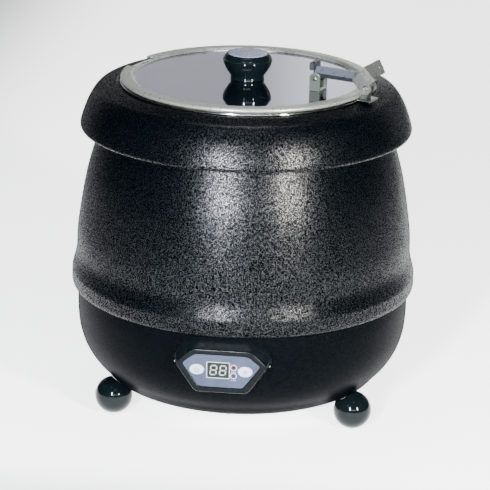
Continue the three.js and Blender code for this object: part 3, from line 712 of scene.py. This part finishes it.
def make_lid():
    rim = curve_through([
        (109.5, 331.5), (110.6, 332.3), (111.8, 333.9), (113.4, 334.5), (117.5, 334.5), (121.4, 334.45),
        (123.2, 333.8), (123.95, 332.5), (123.7, 331.1),
    ])
    outline = [(0, 331.5), (60, 331.5), (100, 331.5), (107, 331.5)] + rim + [
        (122.8, 331.1), (122.7, 332.4), (121.4, 333.3), (114.4, 333.3), (113.2, 332.6), (113.2, 326),
        (112.1, 326), (112.1, 330.9), (109.9, 330.3), (0, 330.3),
    ]
    lid = turned("lid_fine", outline, facets=256, sharp=35)
    corners = [(111.2, -23), (140, -23), (140, 23), (111.2, 23)]
    notch = flat_solid("notch", filleted(corners, 5, steps=8), 320, 345)
    holes = [cylinder_along("hole", 3.3, (0, 0, 320), (0, 0, 340))]
    for y in (-RIVET_OFFSET, RIVET_OFFSET):
        hole = cylinder_along("rivet_hole", 1.8, (RIVET_DISTANCE, y, 320), (RIVET_DISTANCE, y, 340))
        holes.append(turned_about(hole, HINGE_AZIMUTH))
    cut(lid, turned_about(notch, NOTCH_AZIMUTH), *holes)
    return finish_piece(lid, "lid", "lid_steel", ["lid_panel"])


def make_knob():
    side = curve_through([
        (16.6, 332.3), (16.5, 334.8), (17.2, 336.3), (18.9, 338.7), (20.7, 341.5), (22.4, 344.6),
        (23.5, 347.6), (23.9, 350.4), (23.85, 352.4),
    ])
    outline = [(3, 331.8), (16.3, 331.8)] + side + [
        (23.3, 352.9), (22.3, 355.2), (21.2, 356.6), (20.6, 357.0), (19.9, 357.1), (19.7, 356.9),
        (19.7, 355.2), (7, 355.2), (7, 340), (3, 340),
    ]
    finish_piece(turned("knob_fine", outline, facets=128), "lid", "gloss_black", ["knob"])
    insert = turned("insert_fine", [
        (0, 355.5), (19.35, 355.5), (19.35, 357.1), (19.2, 357.35), (18.9, 357.5), (16, 357.6), (0, 357.6),
    ], facets=128)
    finish_piece(insert, "lid", "insert_grey", ["knob_insert"])


make_pot()
make_lid()
make_knob()


# ---------------------------------------------------------------- CAD nodes that show as they are
NODE_LOOKS = {
    "arm_steel": ["hinge_arm"],
    "clip_steel": ["lid_bracket", "rim_clip"],
    "polished_steel": ["lid_rivet_1", "lid_rivet_2"],
    "pin_steel": ["outer_pin", "inner_pin"],
    "rubber_black": ["arm_bumper", "collar_seal"],
    "satin_black": ["cord_gland", "cord_gland_nut", "thermal_cutout", "display_module"],
    "brushed_steel": ["water_pan", "temperature_sensor"],
    "zinc": ["base_plate", "heating_ring", "heater_plate", "earth_stud", "knob_screw"],
    "grey_plastic": ["terminal_block", "tact_switch_1", "tact_switch_2"],
    "board_green": ["control_board"],
    "lens_red": ["indicator_lens_1"],
    "lens_dark": ["indicator_lens_2"],
}
NUMBERED_ZINC = ("tie_bolt", "tie_nut", "base_screw", "foot_stud", "foot_nut", "board_screw", "panel_screw")
BEVELLED = ("lid_bracket", "arm_bumper", "cord_gland")


def dress_nodes():
    for name, node in nodes.items():
        look = next((key for key, names in NODE_LOOKS.items() if name in names), None)
        if look is None and name.startswith(NUMBERED_ZINC):
            look = "zinc"
        if look is None:
            continue
        node.data.materials.clear()
        node.data.materials.append(looks[look])
        soften(node)
        if name in BEVELLED:
            bevel = node.modifiers.new("edges", "BEVEL")
            bevel.width = 0.25 * MM
            bevel.segments = 3
            bevel.limit_method = "ANGLE"
            bevel.angle_limit = math.radians(35)


def soften(node):
    """Smooth shading that keeps edges above 30 degrees crisp."""
    mesh = node.data
    mesh.polygons.foreach_set("use_smooth", [True] * len(mesh.polygons))
    work = bmesh.new()
    work.from_mesh(mesh)
    crease = math.radians(30)
    sharp = [edge.is_manifold and edge.calc_face_angle(0) > crease for edge in work.edges]
    work.free()
    mesh.edges.foreach_set("use_edge_sharp", sharp)


dress_nodes()


# ---------------------------------------------------------------- floor and light
FLOOR_GLOW = 2.6  # the white floor shines a little, so it stays pale while the studio in front is dark
SIDE_GLOW = 0.1
BACKDROP_GLOW = 0.95


def make_floor():
    """A white floor that curves up into a backdrop behind the kettle."""
    half_width, back, bend, rise = 3.2, 4.5, 1.5, 3.8
    run = [(-3.5, 0.0), (back, 0.0)]
    for step in range(1, 17):
        angle = math.pi / 2 * step / 16
        run.append((back + bend * math.sin(angle), bend * (1 - math.cos(angle))))
    run.append((back + bend, rise))
    verts = [(x, y, z) for y, z in run for x in (-half_width, half_width)]
    faces = [[i * 2, i * 2 + 1, i * 2 + 3, i * 2 + 2] for i in range(len(run) - 1)]
    mesh = bpy.data.meshes.new("floor")
    mesh.from_pydata(verts, [], faces)
    mesh.polygons.foreach_set("use_smooth", [True] * len(faces))
    floor = bpy.data.objects.new("floor", mesh)
    bpy.context.scene.collection.objects.link(floor)
    look = Look("floor_paper")
    look.colour(look.noise(3, detail=2.0), (0.88, 0.88, 0.88), (0.91, 0.91, 0.91))
    look.set(Roughness=0.7, Specular_IOR_Level=0.2, Emission_Color=(1, 1, 1, 1))
    place = look.node("ShaderNodeSeparateXYZ")
    look.link(look.place, place.inputs["Vector"])
    side = look.node("ShaderNodeMath", operation="ABSOLUTE")
    look.link(place.outputs["X"], side.inputs[0])
    bright = look.product(
        look.fade(place.outputs["Y"], -0.32, -0.16, 0.0, 1.0),
        look.fade(side.outputs["Value"], 0.3, 0.75, 1.0, 0.0),
    )
    level = look.fade(bright, 0.0, 1.0, SIDE_GLOW, FLOOR_GLOW)
    glow = look.product(level, look.fade(place.outputs["Z"], 0.1, 0.35, 1.0, BACKDROP_GLOW / FLOOR_GLOW))
    look.link(glow, look.shader.inputs["Emission Strength"])
    floor.data.materials.append(look.material)


def area_light(name, azimuth, elevation, distance, width, height, power, colour=(1, 1, 1)):
    """A rectangular light that faces the middle of the kettle."""
    aim = Vector((0, 0, 0.2))
    flat = math.cos(math.radians(elevation))
    way = Vector((
        flat * math.cos(math.radians(azimuth)), flat * math.sin(math.radians(azimuth)),
        math.sin(math.radians(elevation)),
    ))
    data = bpy.data.lights.new(name, "AREA")
    data.shape = "RECTANGLE"
    data.size = width
    data.size_y = height
    data.energy = power
    data.color = colour
    light = bpy.data.objects.new(name, data)
    turn = way.to_track_quat("Z", "Y").to_matrix().to_4x4()
    light.matrix_world = Matrix.Translation(aim + way * distance) @ turn
    bpy.context.scene.collection.objects.link(light)


def make_world():
    """A dark studio in front of the kettle and a bright one behind it."""
    world = bpy.data.worlds.new("studio")
    world.use_nodes = True
    tree = world.node_tree
    background = tree.nodes["Background"]
    place = tree.nodes.new("ShaderNodeTexCoord")
    split = tree.nodes.new("ShaderNodeSeparateXYZ")
    ramp = tree.nodes.new("ShaderNodeValToRGB")
    ramp.color_ramp.elements[0].position = 0.55
    ramp.color_ramp.elements[0].color = (0.02, 0.024, 0.03, 1)
    ramp.color_ramp.elements[1].position = 0.95
    ramp.color_ramp.elements[1].color = (0.95, 0.97, 1.0, 1)
    tree.links.new(place.outputs["Generated"], split.inputs["Vector"])
    tree.links.new(split.outputs["Y"], ramp.inputs["Fac"])
    low = tree.nodes.new("ShaderNodeMapRange")
    low.inputs["From Min"].default_value = 0.62
    low.inputs["From Max"].default_value = 0.45
    low.inputs["To Min"].default_value = 0.1
    low.inputs["To Max"].default_value = 1.0
    tree.links.new(split.outputs["Z"], low.inputs["Value"])
    scaled = tree.nodes.new("ShaderNodeVectorMath")
    scaled.operation = "SCALE"
    tree.links.new(ramp.outputs["Color"], scaled.inputs[0])
    tree.links.new(low.outputs["Result"], scaled.inputs["Scale"])
    tree.links.new(scaled.outputs["Vector"], background.inputs["Color"])
    background.inputs["Strength"].default_value = 1.1
    bpy.context.scene.world = world


def make_lights():
    cool = (0.93, 0.96, 1.0)
    area_light("key_left", -97, 17, 2.0, 0.16, 0.55, 170, (0.88, 0.92, 1.0))
    area_light("key_right", -51, 17, 2.0, 0.16, 0.55, 125, (1.0, 0.98, 0.94))
    area_light("over", 90, 78, 2.0, 0.7, 0.7, 13, cool)
    area_light("front_low", -76, 10, 1.9, 1.0, 0.05, 9, cool)
    area_light("front_top", -88, 60, 1.9, 1.1, 0.1, 7, cool)


make_floor()
make_world()
make_lights()
